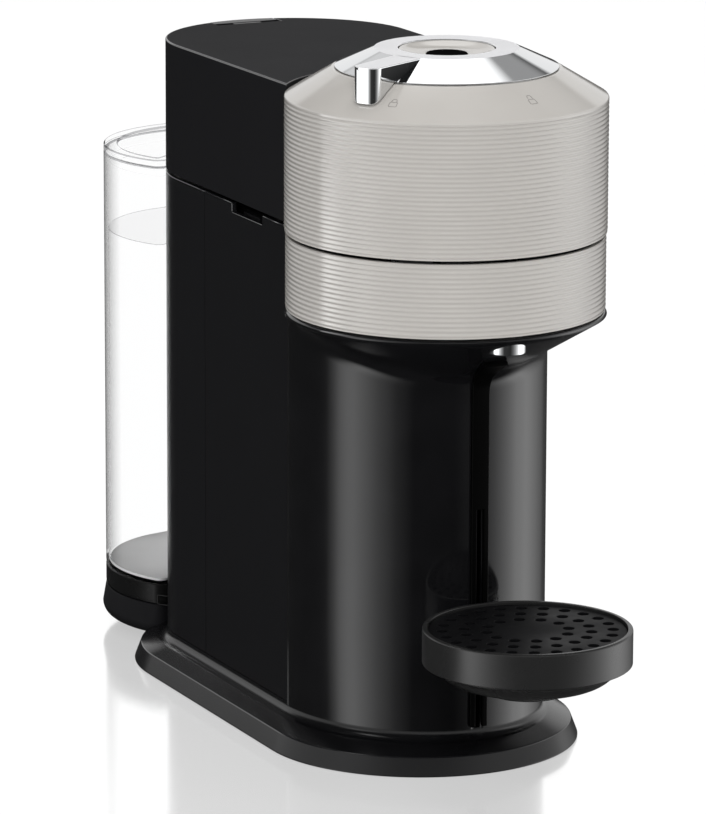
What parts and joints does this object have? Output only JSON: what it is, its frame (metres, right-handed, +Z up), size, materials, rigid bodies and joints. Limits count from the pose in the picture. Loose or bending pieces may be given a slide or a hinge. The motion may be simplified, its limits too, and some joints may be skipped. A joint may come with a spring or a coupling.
{
  "type": "pod coffee machine",
  "caption": "Slim pod coffee machine: drum-shaped hinged brewing head with a top lever, sliding cup support, clear rear water tank and used-capsule container.",
  "frame": {"origin": "centre of the footprint box, on the counter", "axes": "+Z up, -Y towards the front (cup support), +X to the machine's right as seen from the front"},
  "size_m": [0.143, 0.4284, 0.3159],
  "materials": {
    "beige_plastic": "fine ribbed satin",
    "black_satin": "satin",
    "black_gloss": "gloss",
    "dark_grey_plastic": "satin",
    "chrome": "polished and satin",
    "steel": "turned",
    "aluminium": "cast",
    "rubber": "matt",
    "clear_plastic": "clear",
    "white_plastic": "natural moulding",
    "green_board": "solder mask"
  },
  "bodies": {
    "body": {"base_shell": "black_satin", "bottom_plate": "black_satin", "foot_front_left": "rubber", "foot_front_right": "rubber", "foot_rear_left": "rubber", "foot_rear_right": "rubber", "column_shell": "black_gloss", "support_rail": "black_gloss", "side_panel_left": "black_satin", "side_panel_right": "black_satin", "rear_shell": "black_satin", "chassis": "dark_grey_plastic", "rear_deck": "black_satin", "hinge_pin": "steel", "water_pump": "aluminium", "thermoblock": "aluminium", "flow_meter": "white_plastic", "control_board": "green_board", "lower_drum": "beige_plastic", "brew_chamber": "dark_grey_plastic", "coffee_outlet": "chrome", "catch_ring": "black_satin", "holder_bearing": "steel", "drive_belt": "rubber", "drive_bracket": "dark_grey_plastic", "drive_motor": "steel", "tank_dock": "black_satin"},
    "head": {"upper_drum": "beige_plastic", "rear_top_cover": "black_satin", "head_frame": "dark_grey_plastic", "injector_needle": "steel"},
    "lever": {"lever_ring": "chrome", "lever_disc": "beige_plastic", "lock_ring": "dark_grey_plastic", "button_spring": "steel"},
    "button": {"brew_button": "black_gloss"},
    "plate": {"piercing_plate": "white_plastic"},
    "holder": {"capsule_holder": "aluminium", "holder_shaft": "steel", "holder_pulley": "white_plastic"},
    "rotor": {"motor_pulley": "white_plastic", "motor_shaft": "steel"},
    "support": {"cup_support": "dark_grey_plastic", "support_bowl": "dark_grey_plastic"},
    "grid": {"drip_grid": "black_satin"},
    "tank": {"water_tank": "clear_plastic", "tank_collar": "black_gloss", "tank_valve": "white_plastic"},
    "lid": {"tank_lid": "clear_plastic"},
    "container": {"capsule_container": "black_satin"}
  },
  "joints": [
    {"name": "head_hinge", "type": "hinge", "parent": "body", "child": "head", "pos_m": [0, 0.125, 0.2915], "axis": [-1, 0, 0], "range_deg": [0, 30]},
    {"name": "lever_turn", "type": "hinge", "parent": "head", "child": "lever", "pos_m": [0, -0.0855, 0.309], "axis": [0, 0, 1], "range_deg": [0, 60]},
    {"name": "button_press", "type": "slide", "parent": "lever", "child": "button", "axis": [0, 0, -1], "range_m": [0, 0.0015], "stiffness_N_per_m": 800, "deforming": ["button_spring"]},
    {"name": "plate_spin", "type": "hinge", "parent": "head", "child": "plate", "pos_m": [0, -0.0855, 0.24], "axis": [0, 0, 1], "continuous": true},
    {"name": "holder_spin", "type": "hinge", "parent": "body", "child": "holder", "pos_m": [0, -0.0855, 0.2], "axis": [0, 0, 1], "continuous": true},
    {"name": "motor_spin", "type": "hinge", "parent": "body", "child": "rotor", "pos_m": [0, -0.0515, 0.17], "axis": [0, 0, 1], "continuous": true},
    {"name": "support_slide", "type": "slide", "parent": "body", "child": "support", "axis": [0, 0, 1], "range_m": [-0.038, 0.045]},
    {"name": "grid_lift", "type": "slide", "parent": "support", "child": "grid", "axis": [0, 0, 1], "range_m": [0, 0.03]},
    {"name": "tank_lift", "type": "slide", "parent": "body", "child": "tank", "axis": [0, 0, 1], "range_m": [0, 0.25]},
    {"name": "lid_lift", "type": "slide", "parent": "tank", "child": "lid", "axis": [0, 0, 1], "range_m": [0, 0.04]},
    {"name": "container_lift", "type": "slide", "parent": "body", "child": "container", "axis": [0, 0, 1], "range_m": [0, 0.045]}
  ],
  "couplings": [
    {"joint": "motor_spin", "follows": "holder_spin", "ratio": 2}
  ]
}
